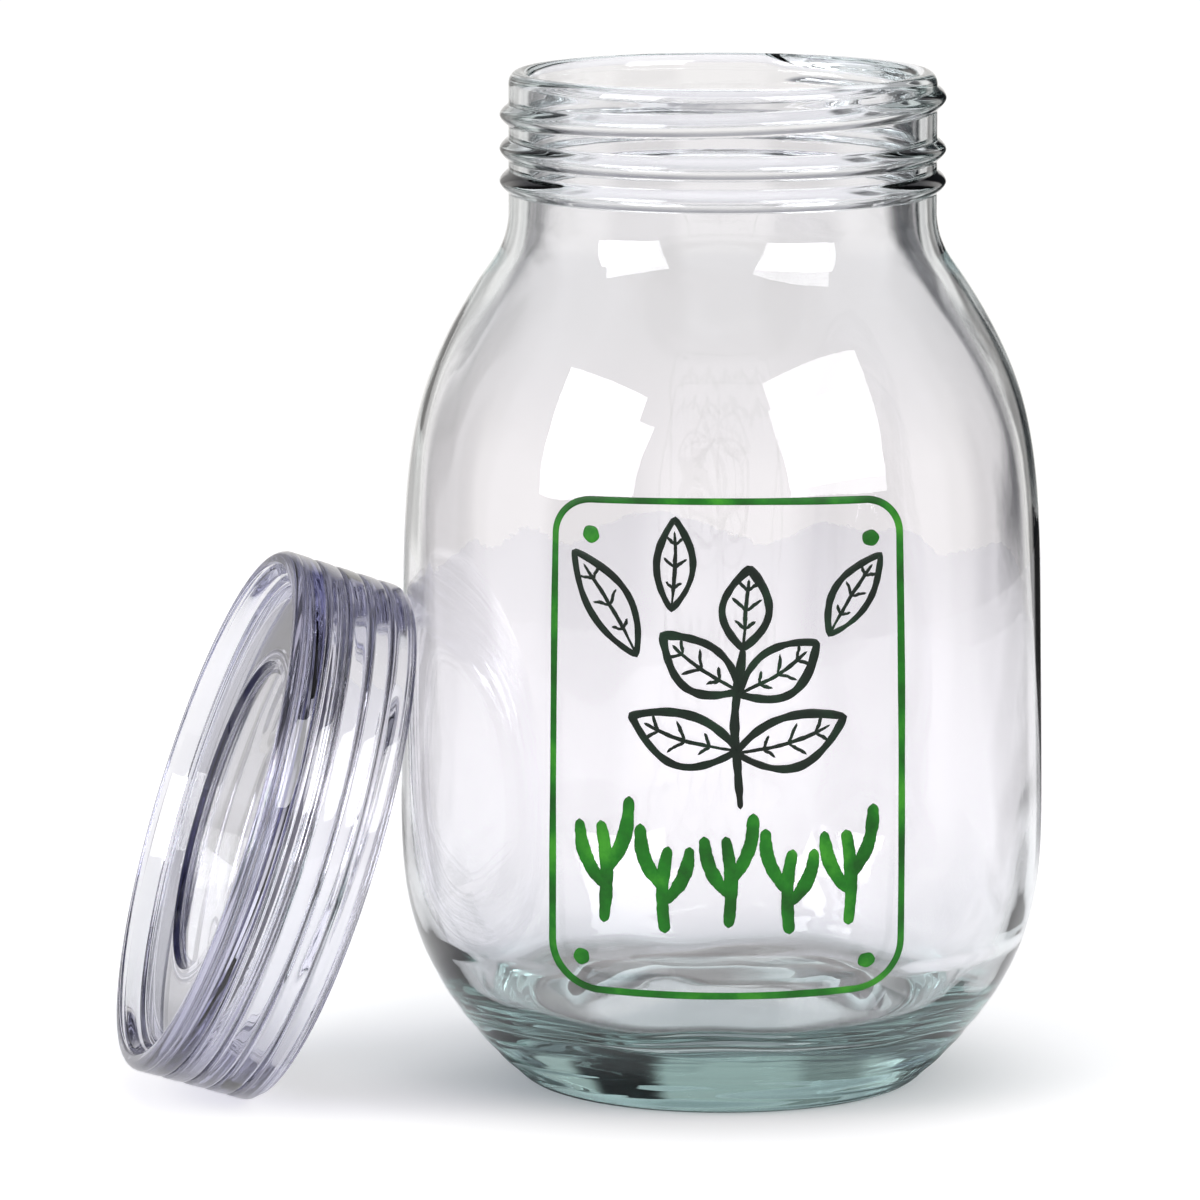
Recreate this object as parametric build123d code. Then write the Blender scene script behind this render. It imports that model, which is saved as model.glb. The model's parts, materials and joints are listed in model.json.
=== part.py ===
from build123d import *
import math
import os

# Clear glass storage jar with a threaded wide mouth, and its clear plastic screw
# lid leaning against its side. Millimetres, +Z up, origin at the centre of the
# jar's bearing ring, which stands on the plane z = 0. The decoration faces -Y.

os.makedirs("parts", exist_ok=True)

# ---------------------------------------------------------------- jar
JAR_H = 193.0            # rim height
BODY_R = 61.2            # largest outer radius
NECK_R = 40.5            # neck outer radius between the beads
MOUTH_R = 36.5           # mouth bore radius
LIP_Z = 190.7            # height where the rounded lip starts
BORE_Z0 = 168.0          # lower end of the straight mouth bore
BEARING_R0, BEARING_R1 = 30.0, 36.0   # flat bearing ring of the base
PUNT_H = 6.2             # push-up under the base
FLOOR_Z = 17.7           # inside floor at the middle

BEAD_R = 42.2            # crest radius of the beads and of the thread
BEAD_W = 4.0             # width of a bead at its root
BEAD_Z = (172.3, 178.4)  # the two level beads
THREAD_PITCH = 6.8
THREAD_Z0, THREAD_Z1 = 181.97, 189.56   # thread's lower and upper ends
THREAD_A0 = 30.0         # azimuth of the thread's lower end, degrees

OUTER = [(39.6, 2.5), (44.3, 7.0), (48.6, 12.0), (52.4, 17.2), (55.8, 23.2), (58.6, 30.2),
         (60.4, 38.5), (61.1, 47.0), (BODY_R, 57.0), (61.05, 72.0), (60.8, 90.0), (60.35, 107.0),
         (59.6, 117.0), (58.4, 125.0), (56.5, 132.6), (53.5, 140.3), (49.5, 148.0), (44.8, 155.4),
         (42.3, 159.2), (41.0, 162.6)]
INNER = [(12.0, 17.6), (24.0, 17.0), (33.0, 16.0), (40.5, 15.5), (45.3, 16.7), (48.7, 19.6),
         (51.7, 23.8), (54.5, 29.2), (56.7, 35.6), (58.1, 43.2), (58.85, 52.0), (58.95, 64.0), (58.8, 80.0),
         (58.4, 98.0), (57.8, 110.0), (56.9, 118.5), (55.4, 126.0), (53.1, 132.8), (49.9, 139.6),
         (45.9, 146.2), (42.0, 152.0), (38.9, 157.2), (37.1, 162.0)]

# ---------------------------------------------------------------- lid, in its own frame
# w is the distance from the plane of the opening, towards the lid's top
LID_H = 24.4
LID_R0 = 50.8            # outer radius at the opening
LID_R1 = 51.1            # outer radius at the top edge
LID_EDGE_W = 22.3        # w where the top edge starts to round over
RIB_COUNT = 5            # rounded bands round the skirt
RIB_DEPTH = 0.5          # depth of the grooves between the bands
LID_IN_R = 43.2          # inside radius of the skirt, at the root of its thread
CEILING_W = 16.9         # underside of the lid's top
RECESS_W = 19.8          # floor of the round recess in the top
RECESS_R0, RECESS_R1 = 45.6, 48.3     # its radius at the floor and at the top
GROOVE_R = 30.3          # fine groove that rings the middle of the recess
GROOVE_D = 1.1
LID_THREAD_R = 41.7      # crest radius of the thread inside the lid
LID_THREAD_W0 = 3.4      # w where that thread starts
LID_THREADS = ((40.0, 120.0), (160.0, 240.0), (280.0, 360.0))   # its three lengths, in degrees round the lid

SEAL_R0, SEAL_R1 = 33.0, 42.9   # flat sealing ring under the lid's top
SEAL_W0, SEAL_W1 = 15.05, 16.75

# ---------------------------------------------------------------- how the lid leans
LEAN_AZ = 11.07          # the lid stands in the direction (-cos, -sin) of this angle
LEAN_EL = 18.32           # elevation of the lid's outward axis
JAR_GAP = 0.05           # air between the lid's upper edge and the jar's wall
TOUCH_R = 60.62          # the jar's outer radius at the height where the lid leans
CARRY_TOP_Z = 310.0      # height of the lid's top face once it is held over the mouth

# ---------------------------------------------------------------- decoration
INK_GAP = 0.03           # ink film's offset from the glass
INK_T = 0.15             # ink film's thickness
INK_W = 1.35             # outline width
X0, X1, Z0, Z1 = -32.0, 32.6, 26.4, 119.7   # outside of the frame line
CORNER_R = 8.0
DOTS = [(-24.8, 112.7), (26.5, 111.9), (-26.6, 33.5), (26.1, 32.8)]
DOT_R = 1.6


def rot(p, deg):
    a = math.radians(deg)
    return (p[0] * math.cos(a) - p[1] * math.sin(a), p[0] * math.sin(a) + p[1] * math.cos(a))


def revolved(wires):
    return revolve(Plane.XZ * make_face(wires), Axis.Z, 360)


# ================================================================ glass_jar
def jar_profile():
    lines = []
    outer = [(BEARING_R1, 0.0)] + OUTER + [(NECK_R, 166.5)]
    lines.append(Line((BEARING_R0, 0), (BEARING_R1, 0)))
    lines.append(Spline(*outer, tangents=[(1, 0.25), (0, 1)]))
    z = 166.5
    h = BEAD_W / 2
    for c in BEAD_Z:
        lines.append(Line((NECK_R, z), (NECK_R, c - h)))
        lines.append(ThreePointArc((NECK_R, c - h), (BEAD_R, c), (NECK_R, c + h)))
        z = c + h
    lines.append(Line((NECK_R, z), (NECK_R, LIP_Z)))
    mid = (NECK_R + MOUTH_R) / 2
    lines.append(ThreePointArc((NECK_R, LIP_Z), (mid, JAR_H), (MOUTH_R, LIP_Z)))
    lines.append(Line((MOUTH_R, LIP_Z), (MOUTH_R, BORE_Z0)))
    inner = [(0.0, FLOOR_Z)] + INNER + [(MOUTH_R, BORE_Z0)]
    lines.append(Spline(*inner, tangents=[(1, 0), (0, 1)]))
    lines.append(Line((0, FLOOR_Z), (0, PUNT_H)))
    lines.append(Spline((0, PUNT_H), (15, 4.9), (25.5, 1.8), (BEARING_R0, 0), tangents=[(1, 0), (1, -0.35)]))
    return lines


def thread_ridge(root_r, crest_r, pitch, z0, z1, start_deg, half):
    """A helical ridge from root_r to crest_r, from height z0 to z1."""
    path = Helix(pitch=pitch, height=z1 - z0, radius=root_r)
    s = 1 if crest_r > root_r else -1
    d = abs(crest_r - root_r)
    # local x of the section points away from the axis
    pts = [(0, -half), (s * d * 0.62, -half * 0.72), (s * d, -half * 0.25), (s * d, half * 0.25),
           (s * d * 0.62, half * 0.72), (0, half)]
    sec = Plane(origin=path @ 0, x_dir=(1, 0, 0), z_dir=path % 0) * make_face(Polyline(*pts, close=True))
    ridge = sweep(sec, path=path, is_frenet=True)
    return Pos(0, 0, z0) * Rot(0, 0, start_deg) * ridge


jar_body = revolved(jar_profile())
ridge = thread_ridge(NECK_R - 0.25, BEAD_R, THREAD_PITCH, THREAD_Z0, THREAD_Z1, THREAD_A0, BEAD_W / 2)
glass_jar = jar_body + ridge

# ================================================================ screw_lid
u = Vector(-math.cos(math.radians(LEAN_AZ)), -math.sin(math.radians(LEAN_AZ)), 0)
up = Vector(0, 0, 1)
be = math.radians(LEAN_EL)
n = u * math.cos(be) + up * math.sin(be)           # lid's axis, out of its top
m = u * -math.sin(be) + up * math.cos(be)          # up along the lid's face
open_z = LID_R0 * math.cos(be) - 0.62              # centre of the opening; the rim's lowest point is just clear of z = 0
open_r = TOUCH_R + JAR_GAP + LID_R0 * math.sin(be)
O = u * open_r + up * open_z
LID_PLANE = Plane(origin=O, x_dir=m, z_dir=n)


def skirt_r(w):
    return LID_R0 + (LID_R1 - LID_R0) * w / LID_EDGE_W


def lid_profile():
    lines = []
    pts_w = [0.9 + (LID_EDGE_W - 0.9) * i / RIB_COUNT for i in range(RIB_COUNT + 1)]
    start = (LID_IN_R, 1.2)
    lines.append(Polyline(start, (LID_IN_R + 0.8, 0.0), (LID_R0 - 0.7, 0.0)))
    prev = (skirt_r(pts_w[0]) - RIB_DEPTH, pts_w[0])
    lines.append(ThreePointArc((LID_R0 - 0.7, 0.0), (LID_R0 - 0.55, 0.45), prev))
    for a, b in zip(pts_w[:-1], pts_w[1:]):
        end = (skirt_r(b) - (RIB_DEPTH if b < LID_EDGE_W else 0), b)
        mid = (skirt_r((a + b) / 2), (a + b) / 2)
        if b >= LID_EDGE_W:
            mid = (skirt_r((a + b) / 2) + 0.02, (a + b) / 2)
        lines.append(ThreePointArc(prev, mid, end))
        prev = end
    top = (LID_R1 - 1.9, LID_H)
    lines.append(ThreePointArc(prev, (LID_R1 - 0.5, LID_H - 0.62), top))
    lines.append(Polyline(top, (RECESS_R1 + 0.5, LID_H), (RECESS_R1, LID_H - 0.5), (RECESS_R1 - 0.6, RECESS_W + 2.6),
                          (RECESS_R0 + 1.0, RECESS_W + 0.8), (RECESS_R0 - 0.6, RECESS_W),
                          (GROOVE_R + 0.8, RECESS_W), (GROOVE_R + 0.15, RECESS_W - GROOVE_D), (GROOVE_R - 0.15, RECESS_W - GROOVE_D),
                          (GROOVE_R - 0.8, RECESS_W), (0, RECESS_W), (0, RECESS_W - 2.4), (28.4, RECESS_W - 2.4), (29.0, CEILING_W),
                          # low ring that centres the seal from inside
                          (31.3, CEILING_W), (31.4, 15.4), (32.4, 15.4), (32.5, CEILING_W),
                          # bead that holds the seal
                          (LID_IN_R, CEILING_W), (LID_IN_R, 15.1), (42.55, 14.65), (42.55, 14.35), (LID_IN_R, 13.9), start))
    return lines


lid_body = revolved(lid_profile())
lid_local = lid_body
for a0, a1 in LID_THREADS:
    w0 = LID_THREAD_W0 + THREAD_PITCH * (a0 - LID_THREADS[0][0]) / 360
    w1 = w0 + THREAD_PITCH * (a1 - a0) / 360
    lid_local = lid_local + thread_ridge(LID_IN_R + 0.25, LID_THREAD_R, THREAD_PITCH, w0, w1, a0, 1.35)
screw_lid = LID_PLANE * lid_local

# ================================================================ seal_ring
c = 0.3
seal_local = revolved([Polyline((SEAL_R0 + c, SEAL_W0), (SEAL_R1 - c, SEAL_W0), (SEAL_R1, SEAL_W0 + c), (SEAL_R1, SEAL_W1 - c),
                                (SEAL_R1 - c, SEAL_W1), (SEAL_R0 + c, SEAL_W1), (SEAL_R0, SEAL_W1 - c), (SEAL_R0, SEAL_W0 + c),
                                (SEAL_R0 + c, SEAL_W0))])
seal_ring = LID_PLANE * seal_local

# ================================================================ decoration
# An ink film on the front of the jar: a band between two offsets of the outer
# profile, cut by shapes drawn in the XZ plane.


def ink_shell():
    band = [p for p in OUTER if 17.0 < p[1] < 127.0]
    a = [(r + INK_GAP, z) for r, z in band]
    b = [(r + INK_GAP + INK_T, z) for r, z in band]
    return revolved([Spline(*a), Line(a[-1], b[-1]), Spline(*b), Line(a[0], b[0])])


SHELL = ink_shell()


def ink(faces):
    """Cut the film with flat shapes given in (x, z)."""
    sk = faces[0]
    for f in faces[1:]:
        sk = sk + f
    prism = extrude(Plane.XZ.offset(20) * sk, amount=60)
    return SHELL & prism


def closed(points):
    return make_face(Polyline(*points, close=True))


def stroke(points, width, ends=0.55):
    """A brush stroke along points, fullest at its middle."""
    left, right = [], []
    k = len(points) - 1
    for i, p in enumerate(points):
        a = points[max(i - 1, 0)]
        b = points[min(i + 1, k)]
        dx, dy = b[0] - a[0], b[1] - a[1]
        l = math.hypot(dx, dy)
        w = width / 2 * (ends + (1 - ends) * math.sin(math.pi * i / k))
        left.append((p[0] - dy / l * w, p[1] + dx / l * w))
        right.append((p[0] + dy / l * w, p[1] - dx / l * w))
    return closed(left + right[::-1])


def leaf_points(length, width, steps=9):
    """Outline of a pointed leaf from (0, 0) to (0, length)."""
    side = []
    for i in range(1, steps):
        t = i / steps
        side.append((width / 2 * math.sin(math.pi * t) ** 0.85 * (1.08 - 0.16 * t), length * t))
    return [(0, 0)] + side + [(0, length)] + [(-x, y) for x, y in side[::-1]]


def leaf(base, tip, width, line=1.1, vein=True):
    """Outlined leaf with a midrib, as two flat shapes."""
    L = math.hypot(tip[0] - base[0], tip[1] - base[1])
    ang = math.degrees(math.atan2(tip[1] - base[1], tip[0] - base[0])) - 90
    out = leaf_points(L, width)
    s = line / (width / 2)
    cy = L / 2
    inn = [(x * (1 - s), cy + (y - cy) * (1 - 2.6 * line / L)) for x, y in out]
    place = lambda q: (base[0] + rot(q, ang)[0], base[1] + rot(q, ang)[1])
    shape = closed([place(q) for q in out]) - closed([place(q) for q in inn])
    parts = [shape]
    if vein:
        parts.append(stroke([place((0, L * 0.03)), place((0.25, L * 0.35)), place((0.1, L * 0.6)), place((0, L * 0.86))], 0.8, 0.7))
    return parts


def rounded_frame():
    cx, cz = (X0 + X1) / 2, (Z0 + Z1) / 2
    big = RectangleRounded(X1 - X0, Z1 - Z0, CORNER_R)
    small = RectangleRounded(X1 - X0 - 2 * INK_W, Z1 - Z0 - 2 * INK_W, CORNER_R - INK_W)
    return Pos(cx, cz) * (big - small)


print_border = ink([rounded_frame()])

dot_solids = [ink([Pos(x, z) * Circle(DOT_R)]) for x, z in DOTS]

LEAVES = [((-16.6, 90.9), (-27.9, 109.4), 8.0), ((-10.1, 99.4), (-9.5, 116.0), 6.8), ((19.0, 94.6), (28.3, 108.7), 7.0)]
leaf_solids = [ink(leaf(a, b, w)) for a, b, w in LEAVES]

# a generic leafy sprig in dark outline
SPRIG_STEM = [(2.6, 62.5), (2.0, 70.0), (1.6, 78.0), (2.2, 86.0), (3.0, 92.5)]
SPRIG_LEAVES = [((3.0, 92.5), (4.2, 107.0), 8.6), ((2.3, 84.5), (-11.5, 94.5), 9.0), ((2.4, 84.0), (16.5, 93.0), 9.0),
                ((1.8, 73.5), (-17.5, 79.5), 9.6), ((1.9, 73.0), (21.5, 79.0), 9.6)]
sprig_faces = [stroke(SPRIG_STEM, 1.5, 0.75)]
for a, b, w in SPRIG_LEAVES:
    sprig_faces += leaf(a, b, w)
print_sprig = ink(sprig_faces)

# a row of simple green sprouts, each a stem and two blades
SPROUTS = [(-22.5, 40.5, 24.0, 1.0), (-11.2, 39.0, 20.5, -1.0), (0.4, 40.2, 21.5, 1.0), (11.8, 38.8, 20.0, -1.0), (22.6, 40.0, 22.5, 1.0)]


def sprout(x, z, h, s):
    stem = [(x, z), (x + 0.5 * s, z + h * 0.3), (x + 0.2 * s, z + h * 0.6), (x - 0.6 * s, z + h * 0.8)]
    a = [(x + 0.4 * s, z + h * 0.42), (x + 2.6 * s, z + h * 0.56), (x + 4.3 * s, z + h * 0.78), (x + 4.6 * s, z + h)]
    b = [(x + 0.2 * s, z + h * 0.30), (x - 2.2 * s, z + h * 0.42), (x - 3.9 * s, z + h * 0.60), (x - 4.5 * s, z + h * 0.80)]
    return [stroke(stem, 2.1, 0.7), stroke(a, 2.3, 0.5), stroke(b, 2.3, 0.5)]


sprout_solids = [ink(sprout(*q)) for q in SPROUTS]


def group(shapes):
    solids = []
    for sh in shapes:
        solids += sh.solids()
    return Compound(children=solids)


nodes = {
    "glass_jar": glass_jar,
    "screw_lid": screw_lid,
    "seal_ring": seal_ring,
    "print_border": print_border,
    "print_corner_dots": group(dot_solids),
    "print_leaves": group(leaf_solids),
    "print_sprig": group([print_sprig]),
    "print_sprouts": group(sprout_solids),
}
for name, shape in nodes.items():
    export_step(shape, f"parts/{name}.step")
    s = shape.solids()
    print(name, len(s), "solids", round(sum(q.volume for q in s), 2), "mm3", "valid" if shape.is_valid else "NOT VALID")

# carrying hinge: the axis about which one turn takes the lid from its leaning
# place to level over the mouth
al = math.pi / 2 - be
S = (open_r + 12 * math.cos(be), open_z + 12 * math.sin(be))
E = (0.0, CARRY_TOP_Z - 12.0)
dx, dz = E[0] - S[0], E[1] - S[1]
k = 0.5 / math.tan(al / 2)
P = ((S[0] + E[0]) / 2 - dz * k, (S[1] + E[1]) / 2 + dx * k)
pole = u * P[0] + up * P[1]
print("opening centre", tuple(O), "lid axis", tuple(n), "face up", tuple(m))
print("carry pole", tuple(pole), "axis", (-math.sin(math.radians(LEAN_AZ)), math.cos(math.radians(LEAN_AZ)), 0), "angle", math.degrees(al))
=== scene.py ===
import json
import math

import bpy
import numpy as np
from mathutils import Matrix, Vector


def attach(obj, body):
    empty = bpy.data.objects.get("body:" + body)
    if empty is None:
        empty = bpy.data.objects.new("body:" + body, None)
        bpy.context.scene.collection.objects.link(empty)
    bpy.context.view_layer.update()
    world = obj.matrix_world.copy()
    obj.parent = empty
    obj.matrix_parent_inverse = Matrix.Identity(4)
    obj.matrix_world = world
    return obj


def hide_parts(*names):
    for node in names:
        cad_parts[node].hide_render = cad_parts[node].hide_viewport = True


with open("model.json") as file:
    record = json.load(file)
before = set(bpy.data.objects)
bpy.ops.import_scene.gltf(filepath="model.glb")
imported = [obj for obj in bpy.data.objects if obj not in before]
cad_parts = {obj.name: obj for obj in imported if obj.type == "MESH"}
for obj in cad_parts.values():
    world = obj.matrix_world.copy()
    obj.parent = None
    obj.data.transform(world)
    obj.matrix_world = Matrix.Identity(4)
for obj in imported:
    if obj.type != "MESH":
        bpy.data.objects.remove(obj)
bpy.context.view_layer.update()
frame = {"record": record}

MM = 0.001
rng = np.random.default_rng(7)
rec = frame["record"]
turn = next(j for j in rec["behaviour"]["joints"] if j["name"] == "lid_turn")
LID_O = np.array(turn["pos_m"], float)
LID_N = np.array(turn["axis"], float)
LID_N /= np.linalg.norm(LID_N)


# ------------------------------------------------------------------ helpers
def spline_curve(points, step, t0=None, t1=None):
    """Points every `step` along a cubic spline through `points`, by chord length, with optional end tangents."""
    P = np.array(points, float)
    d = np.hypot(*np.diff(P, axis=0).T)
    s = np.r_[0, np.cumsum(d)]
    n = len(P)
    A = np.zeros((n, n))
    B = np.zeros((n, 2))
    h = np.diff(s)
    for i in range(1, n - 1):
        A[i, i - 1], A[i, i], A[i, i + 1] = h[i - 1], 2 * (h[i - 1] + h[i]), h[i]
        B[i] = 6 * ((P[i + 1] - P[i]) / h[i] - (P[i] - P[i - 1]) / h[i - 1])
    if t0 is None:
        A[0, 0] = 1
    else:
        t0 = np.array(t0, float) / np.hypot(*t0)
        A[0, 0], A[0, 1] = 2 * h[0], h[0]
        B[0] = 6 * ((P[1] - P[0]) / h[0] - t0)
    if t1 is None:
        A[-1, -1] = 1
    else:
        t1 = np.array(t1, float) / np.hypot(*t1)
        A[-1, -1], A[-1, -2] = 2 * h[-1], h[-1]
        B[-1] = 6 * (t1 - (P[-1] - P[-2]) / h[-1])
    M = np.linalg.solve(A, B)
    k = max(2, int(round(s[-1] / step)) + 1)
    u = np.linspace(0, s[-1], k)
    i = np.clip(np.searchsorted(s, u, side="right") - 1, 0, n - 2)
    a = (s[i + 1] - u)[:, None]
    b = (u - s[i])[:, None]
    hh = h[i][:, None]
    return M[i] * a**3 / (6 * hh) + M[i + 1] * b**3 / (6 * hh) + (P[i] / hh - M[i] * hh / 6) * a + (P[i + 1] / hh - M[i + 1] * hh / 6) * b


def rounded(points, step=1.2, seg=5):
    """A polyline of (r, w, fillet radius) with its corners rounded, sampled so that smooth shading stays true."""
    out = []
    n = len(points)
    P = [np.array(p[:2], float) for p in points]
    ends = []
    for i in range(n):
        r = points[i][2] if len(points[i]) > 2 else 0
        if i in (0, n - 1) or r == 0:
            ends.append(("p", P[i]))
            continue
        a = P[i - 1] - P[i]
        b = P[i + 1] - P[i]
        la, lb = np.hypot(*a), np.hypot(*b)
        a, b = a / la, b / lb
        ang = math.acos(np.clip(np.dot(a, b), -1, 1))
        t = min(r / math.tan(ang / 2), la * 0.48, lb * 0.48)
        rr = t * math.tan(ang / 2)
        c = P[i] + (a + b) / np.hypot(*(a + b)) * rr / math.sin(ang / 2)
        p0, p1 = P[i] + a * t, P[i] + b * t
        a0 = math.atan2(*(p0 - c)[::-1])
        a1 = math.atan2(*(p1 - c)[::-1])
        da = (a1 - a0 + math.pi) % (2 * math.pi) - math.pi
        arc = [c + rr * np.array([math.cos(a0 + da * j / seg), math.sin(a0 + da * j / seg)]) for j in range(seg + 1)]
        ends.append(("a", arc))
    for i, (kind, q) in enumerate(ends):
        pts = [q] if kind == "p" else q
        if out:
            a, b = out[-1], pts[0]
            L = np.hypot(*(b - a))
            if L > 0.9:
                k = max(1, int(L / step))
                us = [0.12 / L] + [j / k for j in range(1, k)] + [1 - 0.12 / L]
                out += [a + (b - a) * u for u in us]
            elif L < 1e-6:
                pts = pts[1:]
        out += pts
    return np.array(out)


def make_mesh(name, verts, faces, smooth=True):
    me = bpy.data.meshes.new(name)
    me.from_pydata([tuple(v) for v in verts], [], faces)
    me.validate()
    if smooth:
        me.polygons.foreach_set("use_smooth", [True] * len(me.polygons))
    me.update()
    ob = bpy.data.objects.new(name, me)
    bpy.context.scene.collection.objects.link(ob)
    return ob


def lathe(name, R, Z, seg, place=None):
    """A closed solid of revolution. R and Z are rings by segments, in mm; the first and last ring are poles."""
    k = R.shape[0]
    phi = np.arange(seg) / seg * 2 * math.pi
    V = [np.array([0, 0, Z[0].mean()])]
    ring = np.stack([R * np.cos(phi), R * np.sin(phi), Z], -1)
    verts = np.concatenate([[V[0]], ring[1:-1].reshape(-1, 3), [[0, 0, Z[-1].mean()]]]) * MM
    m = k - 2
    faces = []
    idx = lambda i, j: 1 + i * seg + (j % seg)
    for j in range(seg):
        faces.append((0, idx(0, j), idx(0, j + 1)))
    for i in range(m - 1):
        for j in range(seg):
            faces.append((idx(i, j), idx(i + 1, j), idx(i + 1, j + 1), idx(i, j + 1)))
    last = 1 + m * seg
    for j in range(seg):
        faces.append((last, idx(m - 1, j + 1), idx(m - 1, j)))
    if place is not None:
        verts = verts @ place[:3, :3].T + place[:3, 3]
    ob = make_mesh(name, verts, faces)
    fix_normals(ob)
    return ob


def fix_normals(ob):
    """Turn the faces outwards if the mesh encloses a negative volume."""
    me = ob.data
    v = np.zeros(len(me.vertices) * 3)
    me.vertices.foreach_get("co", v)
    v = v.reshape(-1, 3)
    me.calc_loop_triangles()
    t = np.zeros(len(me.loop_triangles) * 3, int)
    me.loop_triangles.foreach_get("vertices", t)
    t = t.reshape(-1, 3)
    vol = np.einsum("ij,ij->i", v[t[:, 0]], np.cross(v[t[:, 1]], v[t[:, 2]])).sum()
    if vol < 0:
        me.flip_normals()


def waves(seed, count, kphi, kz, amp):
    """A smooth random height over angle and height, periodic round the jar."""
    g = np.random.default_rng(seed)
    terms = [(int(g.integers(kphi[0], kphi[1] + 1)), g.uniform(*kz), g.uniform(0, 6.28), g.uniform(0.5, 1.0)) for _ in range(count)]
    norm = amp / math.sqrt(sum(t[3] ** 2 for t in terms) / 2) / 2

    def f(phi, z):
        s = 0
        for a, b, c, w in terms:
            s = s + w * np.sin(a * phi + b * z + c)
        return s * norm

    return f


def smooth_step(x, a, b):
    t = np.clip((x - a) / (b - a), 0, 1)
    return t * t * (3 - 2 * t)


# ------------------------------------------------------------------ jar
JAR_H, NECK_R, MOUTH_R, LIP_Z = 193.0, 40.5, 36.5, 190.7
OUTER = [(39.6, 2.5), (44.3, 7.0), (48.6, 12.0), (52.4, 17.2), (55.8, 23.2), (58.6, 30.2), (60.4, 38.5), (61.1, 47.0),
         (61.2, 57.0), (61.05, 72.0), (60.8, 90.0), (60.35, 107.0), (59.6, 117.0), (58.4, 125.0), (56.5, 132.6),
         (53.5, 140.3), (49.5, 148.0), (44.8, 155.4), (42.3, 159.2), (41.0, 162.6)]
INNER = [(45.3, 16.7), (48.7, 19.6), (51.7, 23.8), (54.5, 29.2), (56.7, 35.6), (58.1, 43.2), (58.85, 52.0), (58.95, 64.0), (58.8, 80.0),
         (58.4, 98.0), (57.8, 110.0), (56.9, 118.5), (55.4, 126.0), (53.1, 132.8), (49.9, 139.6), (45.9, 146.2),
         (42.0, 152.0), (38.9, 157.2), (37.1, 162.0)]
BEAD_Z = (172.3, 178.4)
BEAD_H = 1.7

outer_wave = waves(3, 9, (2, 7), (0.01, 0.05), 0.07)
inner_wave = waves(5, 12, (2, 9), (0.015, 0.07), 0.16)
inner_fine = waves(8, 14, (9, 22), (0.05, 0.16), 0.05)
floor_wave = waves(11, 14, (3, 12), (0.05, 0.25), 0.35)

outer_body = spline_curve([(36.0, 0.12)] + OUTER + [(NECK_R, 166.5)], 1.1, t0=(1, 0.25), t1=(0, 1))
oz, orr = outer_body[:, 1], outer_body[:, 0]


def outer_r(phi, z):
    """The jar's outer radius on the body, with its slight unevenness. mm."""
    base = np.interp(z, oz, orr)
    fade = smooth_step(z, 4, 20) * (1 - smooth_step(z, 145, 165))
    return base + outer_wave(phi, z) * fade


def bump(d, half):
    return 1 - np.clip(np.abs(d) / half, 0, 1) ** 1.7


def neck_relief(phi, z):
    """Height of the beads and the thread over the neck. mm."""
    h = np.zeros(np.broadcast(phi, z).shape)
    for c in BEAD_Z:
        h = np.maximum(h, BEAD_H * bump(z - c, 2.05))
    deg = np.degrees(phi)
    for turn_ in (-360, 0, 360):
        a = deg + turn_
        on = smooth_step(a, 25, 50) * (1 - smooth_step(a, 424, 440))
        zc = 184.8 + 3.4 * (a - 180) / 180
        h = np.maximum(h, BEAD_H * bump(z - zc, 2.05) * on)
    return h


SEG = 288
phi = np.arange(SEG) / SEG * 2 * math.pi


def jar_mesh():
    rows_r, rows_z = [], []

    def add(r, z, kind):
        r = np.full(SEG, float(r))
        z = np.full(SEG, float(z))
        if kind == "outer":
            fade = smooth_step(z, 4, 20) * (1 - smooth_step(z, 145, 165))
            r = r + outer_wave(phi, z) * fade
            low = smooth_step(z, 0.8, 3) * (1 - smooth_step(z, 11, 20))
            r = r + 0.10 * np.sin(2 * math.pi * z / 4.4 + 0.9 + 0.7 * np.sin(2 * phi + 1) + 0.4 * np.sin(5 * phi)) * low
        elif kind == "neck":
            r = r + neck_relief(phi, z)
        elif kind == "inner":
            fade = smooth_step(z, 18, 34) * (1 - smooth_step(z, 140, 160))
            low = 1 + 1.6 * (1 - smooth_step(z, 30, 75))
            r = r - (inner_wave(phi, z) * low + inner_fine(phi, z)) * fade
        elif kind == "floor":
            fade = smooth_step(r, 6, 26) * (1 - smooth_step(z, 21, 30))
            z = z + floor_wave(phi, r) * fade
            r = r + inner_wave(phi, z) * smooth_step(z, 18, 28)
        rows_r.append(r)
        rows_z.append(z)

    for r, z in spline_curve([(0, 6.2), (8, 5.9), (15, 4.9), (21, 3.3), (25.5, 1.75), (28.6, 0.55), (31.2, 0.06), (33.5, 0.0), (36.0, 0.12)], 1.2, t0=(1, 0), t1=(1, 0.12)):
        add(r, max(z, 0), "foot")
    for r, z in outer_body[1:]:
        add(r, z, "outer")
    for z in np.arange(166.5 + 0.22, LIP_Z, 0.22):
        add(NECK_R, z, "neck")
    for a in np.linspace(0, math.pi, 19):
        add(38.5 + 2.0 * math.cos(a), LIP_Z + 2.3 * math.sin(a), "lip")
        rows_r[-1] = rows_r[-1] + neck_relief(phi, rows_z[-1]) * max(math.cos(a), 0)
    for z in np.linspace(LIP_Z, 168.0, 20)[1:]:
        add(MOUTH_R, z, "bore")
    inner = spline_curve([(MOUTH_R, 168.0)] + INNER[::-1], 1.2, t0=(0, -1))
    for r, z in inner[1:]:
        add(r, z, "inner" if z > 30 else "floor")
    lo = spline_curve([(45.3, 16.7), (40.5, 15.5), (33.0, 16.0), (24.0, 17.0), (12.0, 17.6), (0, 17.7)], 1.2, t0=inner[-1] - inner[-2], t1=(-1, 0))
    for r, z in lo[1:]:
        add(r, z, "floor")
    return lathe("jar_glass_wall", np.array(rows_r), np.array(rows_z), SEG)


jar = jar_mesh()

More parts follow.
